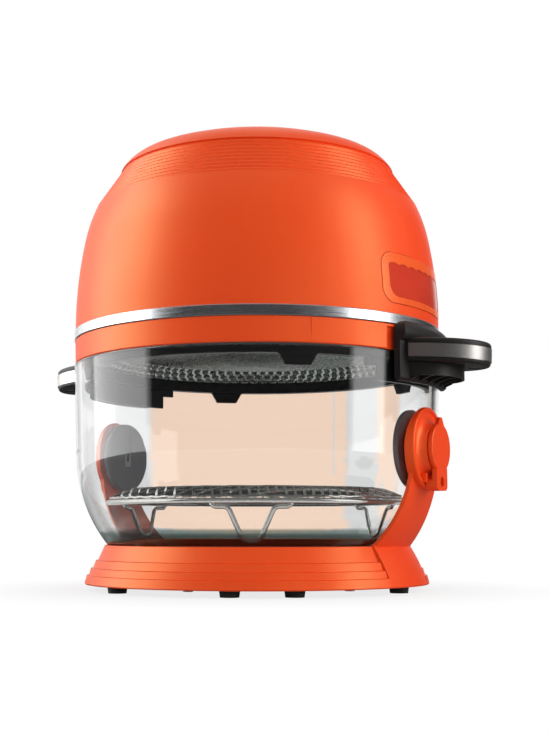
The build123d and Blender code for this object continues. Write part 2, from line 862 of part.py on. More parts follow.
def make_motor_shaft():
    shaft = Pos(0, 0, 197) * Cylinder(3.95, 66, align=upwards)
    nut = Pos(0, 0, 194.6) * extrude(RegularPolygon(6.4, 6), amount=5.2)
    return shaft + nut


# Cooling fan above the pan: hub, thin disc and nine upright blades
def make_cooling_fan():
    hub = Cylinder(12, 10, align=upwards)
    disc = Cylinder(58, 1.0, align=upwards)
    fan = Pos(0, 0, 228.0) * (hub + disc)
    for k in range(9):
        fan += Rot(0, 0, 40 * k) * block(37, 0, 233.2, (40, 1.1, 9.6))
    return fan - Pos(0, 0, 228) * Cylinder(4.0, 60)


def make_insulation():
    return ring(14.0, 96.0, pan_top_z + 1.3, pan_top_z + 5.3) - sum_of(
        Pos(x, 88, pan_top_z) * Cylinder(5.0, 20) for x in (-12, 12)
    )


def make_motor():
    body = ring(4.3, 31.0, 246.0, 276.0) + ring(0, 10.0, 276.0, 281.0)
    body += ring(6.5, 11.0, 242.6, 246.0)
    for k in range(8):
        body += Rot(0, 0, 45 * k + 22.5) * block(31.6, 0, 261, (2.4, 5, 22))
    return body


# Bridge that carries the motor over the cooling fan on four legs
def make_motor_bracket():
    bridge = ring(11.6, 40.0, 243.4, 245.9)
    leg = block(58, 0, 244.65, (44, 14, 2.5))
    leg += block(79, 0, 234.9, (2.0, 14, 18.4))
    leg += block(86, 0, 226.7, (16, 14, 2.0))
    for k in range(4):
        bridge += Rot(0, 0, 90 * k + 45) * leg
    return bridge


def make_power_board():
    board = block(0, 0, 285.5, (96, 70, 1.6))
    relay = block(-30, 18, 293.8, (20, 16, 15))
    capacitor = Pos(22, 18, 286.3) * Cylinder(7, 17, align=upwards)
    coil = block(26, -16, 292.3, (16, 16, 12))
    sink = block(-26, -18, 291.3, (22, 4, 10))
    post = Cylinder(3, 8.5, align=upwards)
    posts = sum_of(Pos(x, y, 276.2) * post for x in (-20, 20) for y in (-12, 12))
    return board + relay + capacitor + coil + sink + posts


def make_thermal_cutout():
    can = Cylinder(8, 5, align=upwards)
    tag = Pos(0, 0, 5) * Box(3, 12, 4, align=upwards)
    ears = Box(26, 6, 0.8, align=upwards)
    return Pos(-80, 8, pan_top_z + 5.4) * (can + tag + ears)


# Handle: D-shaped plate that droops a little from a collar that hugs the head, in an upper and a lower shell
def drooping(piece):
    tip = Pos(0, -plate_root - plate_reach, plate_split_z)
    return tip * Rot(handle_droop, 0, 0) * tip.inverse() * piece


def plate_face(grow):
    half = plate_half_width + grow
    reach = plate_reach + grow
    ellipse = Pos(0, -plate_root) * Ellipse(half, reach)
    return ellipse & Pos(0, -plate_root - 40) * Rectangle(200, 80)


def make_handle_upper():
    collar = lathe(
        outline(
            (141.3, shell_split_z + 0.1),
            (145.6, shell_split_z + 0.1),
            (145.6, 175.4),
            (147.6, 176.4),
            ((149.4, 182.0), (146.4, 188.0)),
            ((145.2, 189.4), (143.4, collar_z[1])),
            (141.3, collar_z[1]),
        ),
        handle_half_angle,
    )
    rounded = Pos(0, 168) * RectangleRounded(handle_width, 44.0, 9.5)
    collar &= front_bar(rounded, 100, 170)
    tongue_shape = outline((138.5, 171.5), (141.4, 171.5), (141.4, 184.6), (138.5, 184.6))
    tongue = lathe(tongue_shape, handle_half_angle - 1.5)
    plate = extrude(Pos(0, 0, plate_split_z) * plate_face(0), amount=plate_z[1] - plate_split_z)
    top_edges = plate.edges().filter_by_position(Axis.Z, plate_z[1] - 0.01, plate_z[1] + 0.01)
    plate = drooping(fillet(top_edges.filter_by(GeomType.LINE, reverse=True), 2.6))
    inside = ring(0, 145.5, 150, 200)
    inside += ring(0, 145.7, 150, shell_split_z + 0.1)
    body = collar + tongue + (plate - inside)
    return body - band_space() - ring(0, 141.2, 165.0, 170.6)


def make_handle_lower():
    collar = lathe(
        outline(
            (141.3, collar_z[0]),
            (143.4, collar_z[0]),
            (145.6, collar_z[0] + 2.0),
            (145.6, shell_split_z),
            (141.3, shell_split_z),
        ),
        handle_half_angle,
    )
    rounded = Pos(0, 168.5) * RectangleRounded(handle_width, 42.0, 2.5)
    collar &= front_bar(rounded, 100, 170)
    plate_thick = plate_split_z - 0.1 - plate_z[0]
    plate = extrude(Pos(0, 0, plate_z[0]) * plate_face(-0.2), amount=plate_thick)
    low_edges = plate.edges().filter_by_position(Axis.Z, plate_z[0] - 0.01, plate_z[0] + 0.01)
    plate = drooping(fillet(low_edges.filter_by(GeomType.LINE, reverse=True), 2.2))
    neck_outer = Pos(0, -plate_root) * Ellipse(33.0, 26.0) & Pos(0, -plate_root - 40) * Rectangle(200, 80)
    neck_inner = Pos(0, -plate_root) * Ellipse(31.0, 24.0) & Pos(0, -plate_root - 40) * Rectangle(200, 80)
    neck_z = 151.6
    neck = extrude(Pos(0, 0, neck_z) * neck_outer, amount=plate_z[0] - neck_z + 2.9)
    neck -= extrude(Pos(0, 0, neck_z - 0.1) * neck_inner, amount=plate_z[0] - neck_z - 0.7)
    inside = ring(0, 143.0, 140, 200)
    body = collar + (plate - inside) + (neck - inside)
    gusset_shape = outline(
        (142.0, collar_z[0] + 0.4),
        (143.4, collar_z[0]),
        ((152.0, 151.2), (166.0, 152.4)),
        (166.0, 158.0),
        (142.0, 158.0),
    )
    reach = extrude(Pos(0, 0, 140) * neck_outer, amount=20)
    for angle in (-12.4, -7.6, -2.6, 2.6, 7.6, 12.4):
        rib = Rot(0, 0, angle - 90) * extrude(Plane.XZ * gusset_shape, amount=1.0, both=True)
        body += rib & reach
    for x in (-15, 15):
        body -= drooping(Pos(x, -172, plate_z[0]) * Cylinder(4.0, 5.0))
        body -= drooping(Pos(x, -172, plate_z[0]) * Cylinder(1.7, 40))
    return body - band_space() - ring(0, 141.2, 140.0, 172.0)


# Shallow groove round the D that takes the silver band
def band_space():
    outer = extrude(Pos(0, 0, band_z[0] - 0.1) * plate_face(3), amount=band_z[1] - band_z[0] + 0.2)
    inner = extrude(Pos(0, 0, band_z[0] - 1) * plate_face(-1.1), amount=band_z[1] - band_z[0] + 2)
    return drooping(outer - inner) - ring(0, 147.6, 150, 180)


def make_handle_band():
    outer = extrude(Pos(0, 0, band_z[0]) * plate_face(0.5), amount=band_z[1] - band_z[0])
    inner = extrude(Pos(0, 0, band_z[0] - 1) * plate_face(-1.0), amount=band_z[1] - band_z[0] + 2)
    return drooping(outer - inner) - ring(0, 147.7, 150, 180)


def make_handle_screws():
    head = Pos(0, 0, plate_z[0] + 0.4) * Cylinder(3.2, 2.0, align=upwards)
    shank = Pos(0, 0, plate_z[0] + 2.4) * Cylinder(1.6, 5.4, align=upwards)
    slot = Pos(0, 0, plate_z[0] + 0.4) * Box(4.4, 0.9, 1.6)
    screw = head + shank - slot
    pair = drooping(Pos(-15, -172, 0) * screw + Pos(15, -172, 0) * screw)
    return both_ends(pair)


def make_nodes():
    arm = make_arm()
    cap = make_lock_cap()
    holder = make_spit_holder()
    upper = make_handle_upper()
    lower = make_handle_lower()
    band = make_handle_band()
    return {
        "glass_bowl": make_glass_bowl(),
        "base_ring": make_base_ring(),
        "base_plate": make_base_plate(),
        "rubber_feet": make_rubber_feet(),
        "base_screws": make_base_screws(),
        "bowl_seat": make_bowl_seat(),
        "front_arm": arm,
        "rear_arm": rear_turn * arm,
        "front_spit_holder": holder,
        "rear_spit_holder": rear_turn * holder,
        "spit_bearings": both_ends(make_spit_bearing()),
        "bowl_bushes": both_ends(make_bowl_bush()),
        "front_lock_cap": cap,
        "rear_lock_cap": rear_turn * cap,
        "rack_hoop": make_rack_hoop(),
        "rack_legs": make_rack_legs(),
        "rack_top": make_rack_top(),
        "dome_shell": make_dome_shell(),
        "trim_band": make_trim_band(),
        "skirt_ring": make_skirt_ring(),
        "guard_ring": make_guard_ring(),
        "guard_mesh": make_guard_mesh(),
        "panel_bezel": make_panel_bezel(),
        "panel_window": make_panel_window(),
        "control_board": make_control_board(),
        "rear_vent": make_rear_vent(),
        "cord_inlet": make_cord_inlet(),
        "heater_pan": make_heater_pan(),
        "heating_element": make_heating_element(),
        "heater_clips": make_heater_clips(),
        "fan_impeller": make_impeller(),
        "motor_shaft": make_motor_shaft(),
        "cooling_fan": make_cooling_fan(),
        "insulation": make_insulation(),
        "fan_motor": make_motor(),
        "motor_bracket": make_motor_bracket(),
        "power_board": make_power_board(),
        "thermal_cutout": make_thermal_cutout(),
        "front_handle_upper": upper,
        "rear_handle_upper": rear_turn * upper,
        "front_handle_lower": lower,
        "rear_handle_lower": rear_turn * lower,
        "front_handle_band": band,
        "rear_handle_band": rear_turn * band,
        "handle_screws": make_handle_screws(),
    }


os.makedirs("parts", exist_ok=True)
for name, solid in make_nodes().items():
    export_step(solid, f"parts/{name}.step")
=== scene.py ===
import json
from math import cos, hypot, pi, radians, sin, sqrt

import bpy
from mathutils import Matrix, Vector


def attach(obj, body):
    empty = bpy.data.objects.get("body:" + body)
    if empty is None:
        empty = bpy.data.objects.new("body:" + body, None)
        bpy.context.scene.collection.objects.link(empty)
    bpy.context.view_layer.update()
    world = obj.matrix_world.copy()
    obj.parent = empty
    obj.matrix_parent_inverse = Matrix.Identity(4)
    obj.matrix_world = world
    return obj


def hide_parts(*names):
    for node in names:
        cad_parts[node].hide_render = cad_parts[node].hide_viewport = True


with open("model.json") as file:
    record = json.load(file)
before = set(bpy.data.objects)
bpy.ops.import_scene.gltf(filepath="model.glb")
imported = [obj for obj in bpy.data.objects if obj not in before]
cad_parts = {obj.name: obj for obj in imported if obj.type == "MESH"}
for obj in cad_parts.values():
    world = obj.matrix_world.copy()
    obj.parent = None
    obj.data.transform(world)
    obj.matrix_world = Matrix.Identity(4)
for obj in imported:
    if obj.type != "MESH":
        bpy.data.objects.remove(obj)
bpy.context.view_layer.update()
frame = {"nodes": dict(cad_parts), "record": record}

# Glass bowl air fryer. Metres, +Z up, control panel and front handle towards -Y.
cadNodes = frame["nodes"]
scene = bpy.context.scene
print("frame loaded:", len(cadNodes), "nodes")

# Camera, at the photograph's height and side
pictureTall = 734    # pixels
leftOfMiddle = 18    # pixels from the middle of the picture to the object's axis
camera = {
    "place": (-0.8245, -0.476, 0.046),
    "lift": 7.435,      # degrees above level
    "turn": -60.0,      # degrees round Z, from looking along +Y
    "lens": 60.51,
    "sensor": 36.0,
    "shift": leftOfMiddle / pictureTall,
    "clipStart": 0.01,
}


def makeCamera():
    data = bpy.data.cameras.new("photoCamera")
    data.lens = camera["lens"]
    data.sensor_width = camera["sensor"]
    data.shift_x = camera["shift"]
    data.clip_start = camera["clipStart"]
    eye = bpy.data.objects.new("photoCamera", data)
    eye.location = camera["place"]
    eye.rotation_euler = (radians(90 + camera["lift"]), 0, radians(camera["turn"]))
    scene.collection.objects.link(eye)
    scene.camera = eye


makeCamera()
print("camera placed")

# Node helpers. Textures run on object coordinates, which are metres in the frame of the whole object.


def newMaterial(name):
    mat = bpy.data.materials.new(name)
    mat.use_nodes = True
    return mat


def shaderOf(mat):
    return mat.node_tree.nodes["Principled BSDF"]


def setShader(mat, **values):
    shader = shaderOf(mat)
    for key, value in values.items():
        socket = shader.inputs[key.replace("_", " ")]
        socket.default_value = (*value, 1.0) if isinstance(value, tuple) else value


def addNode(mat, kind, inputs=(), **settings):
    node = mat.node_tree.nodes.new(kind)
    for key, value in settings.items():
        setattr(node, key, value)
    for slot, value in dict(inputs).items():
        if isinstance(value, bpy.types.NodeSocket):
            mat.node_tree.links.new(value, node.inputs[slot])
        else:
            node.inputs[slot].default_value = value
    return node


def mathNode(mat, operation, a, b=0.0):
    return addNode(mat, "ShaderNodeMath", {0: a, 1: b}, operation=operation).outputs[0]


def place(mat, stretch=(1, 1, 1)):
    spot = addNode(mat, "ShaderNodeTexCoord").outputs["Object"]
    if stretch == (1, 1, 1):
        return spot
    return addNode(mat, "ShaderNodeMapping", {"Vector": spot, "Scale": stretch}).outputs[0]


# Round coordinates for turned pieces: angle, radius and height, each with its own scale
def roundPlace(mat, scales):
    parts = addNode(mat, "ShaderNodeSeparateXYZ", {0: place(mat)})
    around = mathNode(mat, "ARCTAN2", parts.outputs[1], parts.outputs[0])
    squares = [mathNode(mat, "POWER", parts.outputs[axis], 2.0) for axis in (0, 1)]
    away = mathNode(mat, "SQRT", mathNode(mat, "ADD", *squares))
    return addNode(mat, "ShaderNodeCombineXYZ", {
        0: mathNode(mat, "MULTIPLY", around, scales["around"]),
        1: mathNode(mat, "MULTIPLY", away, scales["radius"]),
        2: mathNode(mat, "MULTIPLY", parts.outputs[2], scales["height"]),
    }).outputs[0]


def noise(mat, scale, detail, roughness=0.5, at=None):
    vector = at if at is not None else place(mat)
    return addNode(mat, "ShaderNodeTexNoise", {
        "Vector": vector, "Scale": scale, "Detail": detail, "Roughness": roughness,
    }).outputs[0]


# Noise mostly lies between 0.3 and 0.7
def mapTo(mat, value, low, high, fromLow=0.3, fromHigh=0.7):
    return addNode(mat, "ShaderNodeMapRange", {
        "Value": value, "From Min": fromLow, "From Max": fromHigh, "To Min": low, "To Max": high,
    }).outputs[0]


def mixColours(mat, share, first, second):
    node = addNode(mat, "ShaderNodeMix", data_type="RGBA")
    colourInputs = [s for s in node.inputs if s.type == "RGBA"]
    mat.node_tree.links.new(share, node.inputs[0])
    for socket, value in zip(colourInputs, (first, second)):
        if isinstance(value, bpy.types.NodeSocket):
            mat.node_tree.links.new(value, socket)
        else:
            socket.default_value = (*value, 1.0)
    return [s for s in node.outputs if s.type == "RGBA"][0]


def linkTo(mat, output, socketName):
    mat.node_tree.links.new(output, shaderOf(mat).inputs[socketName])


def addBump(mat, heights, depth):
    last = None
    for height, strength in heights:
        node = addNode(mat, "ShaderNodeBump", {"Height": height, "Strength": strength, "Distance": depth})
        if last is not None:
            mat.node_tree.links.new(last, node.inputs["Normal"])
        last = node.outputs[0]
    linkTo(mat, last, "Normal")


# Moulded plastic: fine spark-eroded grain, slow waviness, slight shade changes.
# These are the values of a plain one, and the list below says where a plastic differs.
plainPlastic = {
    "ior": 1.5,
    "shine": 0.5,
    "tint": (1.0, 1.0, 1.0),
    "coat": 0.0,
    "coatRoughness": 0.2,
    "patch": 18.0,          # scale of the slow shade changes
    "patchSpread": 0.03,    # how far they change the roughness
    "grain": 1600.0,
    "grainSpread": 0.05,
    "grainStrength": 0.25,
    "wave": 45.0,
    "waveStrength": 0.04,
    "depth": 0.00005,
}
plastics = {
    "orangePlastic": {
        "colour": (0.82, 0.047, 0.006), "shade": (0.78, 0.042, 0.005), "roughness": 0.42, "shine": 1.0,
        "tint": (1.0, 1.0, 0.36),
    },
    "panelPlastic": {
        "colour": (0.82, 0.100, 0.018), "shade": (0.80, 0.088, 0.015), "roughness": 0.28, "shine": 0.9,
        "tint": (1.0, 1.0, 0.45), "grainStrength": 0.1,
    },
    "blackPlastic": {
        "colour": (0.011, 0.0095, 0.009), "shade": (0.017, 0.015, 0.014), "roughness": 0.46, "shine": 0.4,
        "grainStrength": 0.5, "grain": 1100.0,
    },
    "greyPlastic": {"colour": (0.085, 0.083, 0.092), "shade": (0.07, 0.069, 0.078), "roughness": 0.36},
    "lightPlastic": {"colour": (0.24, 0.23, 0.24), "shade": (0.20, 0.19, 0.20), "roughness": 0.35},
    "guardBlack": {
        "colour": (0.004, 0.004, 0.004), "shade": (0.006, 0.006, 0.006), "roughness": 0.40, "shine": 0.2,
    },
    "seatPlastic": {
        "colour": (0.030, 0.045, 0.042), "shade": (0.020, 0.032, 0.030), "roughness": 0.24, "coat": 0.4,
    },
    "blackRubber": {
        "colour": (0.012, 0.012, 0.012), "shade": (0.02, 0.019, 0.018), "roughness": 0.7,
        "grainStrength": 0.6, "grain": 700.0,
    },
    "siliconeGrey": {"colour": (0.16, 0.16, 0.165), "shade": (0.13, 0.13, 0.135), "roughness": 0.55},
}


def mouldedPlastic(name, differences):
    style = {**plainPlastic, **differences}
    mat = newMaterial(name)
    setShader(mat, Base_Color=style["colour"], Roughness=style["roughness"], IOR=style["ior"],
              Coat_Weight=style["coat"], Coat_Roughness=style["coatRoughness"],
              Specular_IOR_Level=style["shine"], Specular_Tint=style["tint"])
    slow = noise(mat, style["patch"], 3.0)
    fine = noise(mat, style["grain"], 3.0, 0.6)
    shade = mixColours(mat, mapTo(mat, slow, 0.0, 1.0), style["colour"], style["shade"])
    linkTo(mat, shade, "Base Color")
    slowSpread, fineSpread = style["patchSpread"], style["grainSpread"]
    rough = mathNode(mat, "ADD", mapTo(mat, slow, -slowSpread, slowSpread),
                     mapTo(mat, fine, style["roughness"] - fineSpread, style["roughness"] + fineSpread))
    linkTo(mat, rough, "Roughness")
    wave = noise(mat, style["wave"], 1.0)
    addBump(mat, [(wave, style["waveStrength"]), (fine, style["grainStrength"])], style["depth"])
    return mat


# Metal with fine drawn lines, or with turned lines that run round the axis
plainMetal = {
    "lines": "drawn",
    "grain": 900.0,
    "turned": {"around": 6.0, "radius": 900.0, "height": 2600.0},
    "patch": 25.0,
    "patchSpread": (-0.03, 0.04),
    "spread": 0.07,      # how far the lines change the roughness
    "strength": 0.2,
    "depth": 0.00004,
}
metals = {
    "trimSilver": {
        "colour": (0.80, 0.82, 0.85), "shade": (0.70, 0.72, 0.76), "roughness": 0.27, "lines": "around",
    },
    "handleSilver": {
        "colour": (0.66, 0.63, 0.61), "shade": (0.52, 0.50, 0.48), "roughness": 0.42, "lines": "around",
        "strength": 0.35,
    },
    "rackSteel": {
        "colour": (0.83, 0.82, 0.79), "shade": (0.62, 0.61, 0.58), "roughness": 0.16, "spread": 0.05,
    },
    "guardSteel": {"colour": (0.66, 0.70, 0.67), "shade": (0.42, 0.45, 0.43), "roughness": 0.26},
    "panSteel": {
        "colour": (0.70, 0.70, 0.69), "shade": (0.60, 0.60, 0.59), "roughness": 0.25, "lines": "around",
    },
    "fixingSteel": {"colour": (0.62, 0.62, 0.61), "shade": (0.5, 0.5, 0.5), "roughness": 0.3},
    "elementSteel": {"colour": (0.16, 0.14, 0.13), "shade": (0.09, 0.08, 0.08), "roughness": 0.45},
}


def linedMetal(name, differences):
    style = {**plainMetal, **differences}
    mat = newMaterial(name)
    setShader(mat, Base_Color=style["colour"], Metallic=1.0, Roughness=style["roughness"])
    if style["lines"] == "around":
        lines = noise(mat, 1.0, 4.0, 0.7, roundPlace(mat, style["turned"]))
    else:
        lines = noise(mat, style["grain"], 3.0, 0.6)
    slow = noise(mat, style["patch"], 3.0)
    shade = mixColours(mat, mapTo(mat, lines, 0.0, 1.0), style["shade"], style["colour"])
    linkTo(mat, shade, "Base Color")
    spread = style["spread"]
    rough = mathNode(mat, "ADD", mapTo(mat, slow, *style["patchSpread"]),
                     mapTo(mat, lines, style["roughness"] - spread, style["roughness"] + spread))
    linkTo(mat, rough, "Roughness")
    addBump(mat, [(lines, style["strength"])], style["depth"])
    return mat


# Clear glass: bends light for the eye, lets the lamps through, greens where it is seen edge on, and is
# painted darker towards the bottom
glass = {
    "ior": 1.47,
    "paintedDarkColour": (0.27, 0.33, 0.315),   # painted darker colour that the glass takes towards the bottom
    "paintedDarkEnds": (0.0418, 0.0432),        # heights between which it turns clear
    "lampsThrough": (0.98, 0.985, 0.98),
    "depthColour": (0.62, 0.78, 0.72),
    "density": 6.0,
    "wave": 9.0,
    "waveStrength": 0.06,
    "waveDepth": 0.0006,
}


def clearGlass():
    mat = newMaterial("bowlGlass")
    clear = (1.0, 1.0, 1.0)
    setShader(mat, Base_Color=clear, Roughness=0.0, IOR=glass["ior"], Transmission_Weight=1.0)
    height = addNode(mat, "ShaderNodeSeparateXYZ", {0: place(mat)}).outputs[2]
    # painted darkening: below these heights the glass takes the dark colour
    low = mapTo(mat, height, 1.0, 0.0, *glass["paintedDarkEnds"])
    linkTo(mat, mixColours(mat, low, clear, glass["paintedDarkColour"]), "Base Color")
    ray = addNode(mat, "ShaderNodeLightPath")
    lamp = mathNode(mat, "MAXIMUM", ray.outputs["Is Shadow Ray"], ray.outputs["Is Diffuse Ray"])
    through = addNode(mat, "ShaderNodeBsdfTransparent", {0: (*glass["lampsThrough"], 1.0)})
    mix = addNode(mat, "ShaderNodeMixShader", {0: lamp, 1: shaderOf(mat).outputs[0], 2: through.outputs[0]})
    depth = addNode(mat, "ShaderNodeVolumeAbsorption", {
        "Color": (*glass["depthColour"], 1.0), "Density": glass["density"],
    })
    links, out = mat.node_tree.links, mat.node_tree.nodes["Material Output"]
    links.new(mix.outputs[0], out.inputs["Surface"])
    links.new(depth.outputs[0], out.inputs["Volume"])
    addBump(mat, [(noise(mat, glass["wave"], 1.0), glass["waveStrength"])], glass["waveDepth"])
    return mat


window = {
    "deep": (0.50, 0.030, 0.014),
    "bright": (0.56, 0.042, 0.017),
    "roughness": 0.16,
    "ior": 1.49,
    "patch": 30.0,
    "wave": 60.0,
    "waveStrength": 0.05,
    "waveDepth": 0.0002,
}


def windowGloss():
    mat = newMaterial("windowGloss")
    setShader(mat, Base_Color=window["deep"], Roughness=window["roughness"], IOR=window["ior"])
    slow = noise(mat, window["patch"], 2.0)
    linkTo(mat, mixColours(mat, mapTo(mat, slow, 0.0, 1.0), window["deep"], window["bright"]), "Base Color")
    addBump(mat, [(noise(mat, window["wave"], 1.0), window["waveStrength"])], window["waveDepth"])
    return mat


board = {
    "green": (0.02, 0.13, 0.05),
    "otherGreen": (0.025, 0.16, 0.06),
    "tracks": (0.05, 0.24, 0.10),
    "trackWidth": 0.03,
    "scale": 160.0,
    "roughness": 0.4,
    "bumpStrength": 0.4,
    "bumpDepth": 0.0001,
}


def circuitBoard():
    mat = newMaterial("circuitBoard")
    setShader(mat, Base_Color=board["green"], Roughness=board["roughness"])
    brick = addNode(mat, "ShaderNodeTexBrick", {
        "Vector": place(mat), "Scale": board["scale"], "Mortar Size": board["trackWidth"],
        "Color1": (*board["green"], 1), "Color2": (*board["otherGreen"], 1), "Mortar": (*board["tracks"], 1),
    })
    linkTo(mat, brick.outputs["Color"], "Base Color")
    addBump(mat, [(brick.outputs["Fac"], board["bumpStrength"])], board["bumpDepth"])
    return mat


felt = {
    "colour": (0.62, 0.58, 0.50),
    "dark": (0.50, 0.47, 0.40),
    "pale": (0.72, 0.69, 0.62),
    "roughness": 0.95,
    "fibres": 500.0,
    "stretch": (1, 3, 1),
    "bumpStrength": 0.8,
    "bumpDepth": 0.0006,
}


def mineralFelt():
    mat = newMaterial("mineralFelt")
    setShader(mat, Base_Color=felt["colour"], Roughness=felt["roughness"])
    fibres = noise(mat, felt["fibres"], 6.0, 0.75, place(mat, felt["stretch"]))
    linkTo(mat, mixColours(mat, mapTo(mat, fibres, 0, 1), felt["dark"], felt["pale"]), "Base Color")
    addBump(mat, [(fibres, felt["bumpStrength"])], felt["bumpDepth"])
    return mat


finishes = {name: mouldedPlastic(name, style) for name, style in plastics.items()}
finishes.update({name: linedMetal(name, style) for name, style in metals.items()})
finishes["bowlGlass"] = clearGlass()
finishes["windowGloss"] = windowGloss()
finishes["circuitBoard"] = circuitBoard()
finishes["mineralFelt"] = mineralFelt()
print("finishes made:", len(finishes))

# The finish of each node: by its slot in the record, or by name where one slot has two looks
slotFinish = {
    "orange_plastic": "orangePlastic",
    "clear_glass": "bowlGlass",
    "silver_trim": "trimSilver",
    "black_plastic": "blackPlastic",
    "grey_plastic": "greyPlastic",
    "light_plastic": "lightPlastic",
    "panel_glass": "windowGloss",
    "rack_steel": "rackSteel",
    "guard_steel": "guardSteel",
    "pan_steel": "panSteel",
    "element_steel": "elementSteel",
    "silicone": "siliconeGrey",
    "black_rubber": "blackRubber",
    "fixings_steel": "fixingSteel",
    "board_green": "circuitBoard",
    "insulation_felt": "mineralFelt",
    "seat_plastic": "seatPlastic",
}
nodeFinish = {
    "guard_ring": "guardBlack",
    "front_handle_band": "handleSilver",
    "rear_handle_band": "handleSilver",
    "panel_bezel": "panelPlastic",
}
slotOf = {part["node"]: part["material_slot"] for part in frame["record"]["subparts"]}


def dressNodes():
    for name, node in cadNodes.items():
        finish = finishes[nodeFinish.get(name, slotFinish[slotOf[name]])]
        node.data.materials.clear()
        node.data.materials.append(finish)


dressNodes()
print("nodes dressed")


# Mesh helpers
def meshPiece(name, points, faces, finish, body, smooth=True):
    mesh = bpy.data.meshes.new(name)
    mesh.from_pydata([tuple(p) for p in points], [], faces)
    mesh.validate()
    mesh.materials.append(finishes[finish])
    if smooth:
        mesh.polygons.foreach_set("use_smooth", [True] * len(mesh.polygons))
    piece = bpy.data.objects.new(name, mesh)
    scene.collection.objects.link(piece)
    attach(piece, body)
    return piece


# Round wire along a list of points, with closed ends or joined end to end
def wireMesh(points, radius, sides, closed=False):
    verts, faces = [], []
    count = len(points)
    normal = None
    for i, point in enumerate(points):
        ahead = points[(i + 1) % count] if closed or i + 1 < count else point
        behind = points[i - 1] if closed or i > 0 else point
        along = (ahead - behind).normalized()
        if normal is None:
            normal = along.orthogonal().normalized()
        normal = (normal - along * normal.dot(along)).normalized()
        side = along.cross(normal)
        for k in range(sides):
            turn = 2 * pi * k / sides
            verts.append(point + radius * (cos(turn) * normal + sin(turn) * side))
    rows = count if closed else count - 1
    for i in range(rows):
        a, b = i * sides, (i + 1) % count * sides
        for k in range(sides):
            n = (k + 1) % sides
            faces.append((a + k, a + n, b + n, b + k))
    if not closed:
        faces.append(tuple(reversed(range(sides))))
        faces.append(tuple((count - 1) * sides + k for k in range(sides)))
    return verts, faces


# Rack: polished hoop and legs, and a top of expanded metal
rack = {
    "hoopRadius": 0.1124,
    "hoopZ": 0.065,
    "hoopWire": 0.0020,
    "legWire": 0.00168,
    "legAngles": (-62.0, 58.0, 178.0),
    "legTip": (0.1064, 0.0258),    # where the two straight sides of a leg would meet: radius and height
    "legHalfSpan": 0.0157,
    "legDrop": 0.0038,             # from the middle of the hoop's wire down to the leg's ends
    "endReach": 0.012,
    "endRun": 0.003,               # the last bit of each end, which turns up by endRise
    "endRise": 0.0026,
    "insets": (0.0040, 0.0036, 0.0018),    # from the hoop's circle in to the end, its bend and its corner
    "bends": (0.0025, 0.005, 0.0082, 0.005, 0.0025),
    "trayZ": 0.0738,
    "trayFlat": 0.096,
    "trayEdge": 0.1112,
    "trayCrown": 0.0004,
    "trayFall": 1.15,              # how late the slope of the border gets steep
    "trayLift": 0.0030,            # from the middle of the hoop's wire up to the tray's edge
    "longWay": 0.0112,
    "shortWay": 0.0076,
    "strand": (0.0017, 0.0009),
    "strandTilt": 0.6,
    "strandOverlap": 0.0003,
    "lift": 0.0012,
    "edgeWire": 0.0008,
    "edgeOut": 0.0004,
    "edgeLift": 0.0032,
    "edgeRipple": 0.0003,
    "edgeWaves": 60,
}


# Points round a circle, level or with a ripple
def circle(radius, height, count, ripple=0.0, waves=0):
    step = 2 * pi / count
    return [Vector((cos(k * step), sin(k * step), 0)) * radius
            + Vector((0, 0, height + ripple * sin(waves * k * step))) for k in range(count)]


def makeHoop():
    points = circle(rack["hoopRadius"], rack["hoopZ"], 160)
    verts, faces = wireMesh(points, rack["hoopWire"], 14, closed=True)
    piece = meshPiece("rackHoop", verts, faces, "rackSteel", "rack")
    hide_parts("rack_hoop")


# Bent wire: straight runs joined by round bends, one radius for each inner corner
def bentPath(corners, bends, steps=12):
    path = [corners[0]]
    for before, corner, after, bend in zip(corners, corners[1:], corners[2:], bends):
        inward, outward = (before - corner).normalized(), (after - corner).normalized()
        half = inward.angle(outward) / 2
        middle = corner + (inward + outward).normalized() * bend / sin(half)
        first = corner + inward * bend / sin(half) * cos(half) - middle
        last = corner + outward * bend / sin(half) * cos(half) - middle
        for k in range(steps + 1):
            path.append(middle + first.slerp(last, k / steps) * bend)  # slerp gives unit vectors
    path.append(corners[-1])
    return path


def makeLegs():
    verts, faces = [], []
    circleX = rack["hoopRadius"]
    lowZ = rack["hoopZ"] - rack["legDrop"]
    span, reach = rack["legHalfSpan"], rack["endReach"]
    endInset, bendInset, cornerInset = rack["insets"]
    half = [
        Vector((circleX - endInset, -span - reach, lowZ + rack["endRise"])),
        Vector((circleX - bendInset, -span - reach + rack["endRun"], lowZ)),
        Vector((circleX - cornerInset, -span, lowZ)),
    ]
    tip = Vector((rack["legTip"][0], 0, rack["legTip"][1]))
    corners = half + [tip] + [Vector((p.x, -p.y, p.z)) for p in reversed(half)]
    for angle in rack["legAngles"]:
        turn = Matrix.Rotation(radians(angle - 90), 3, "Z")
        path = [turn @ p for p in bentPath(corners, rack["bends"])]
        legVerts, legFaces = wireMesh(path, rack["legWire"], 12)
        start = len(verts)
        verts += legVerts
        faces += [tuple(start + k for k in face) for face in legFaces]
    piece = meshPiece("rackLegs", verts, faces, "rackSteel", "rack")
    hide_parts("rack_legs")


def trayHeight(radius):
    if radius <= rack["trayFlat"]:
        return rack["trayZ"] + rack["trayCrown"] * (1 - (radius / rack["trayFlat"]) ** 2)
    share = (radius - rack["trayFlat"]) / (rack["trayEdge"] - rack["trayFlat"])
    fall = rack["trayZ"] - rack["hoopZ"] - rack["trayLift"]
    return rack["trayZ"] - fall * share ** rack["trayFall"]


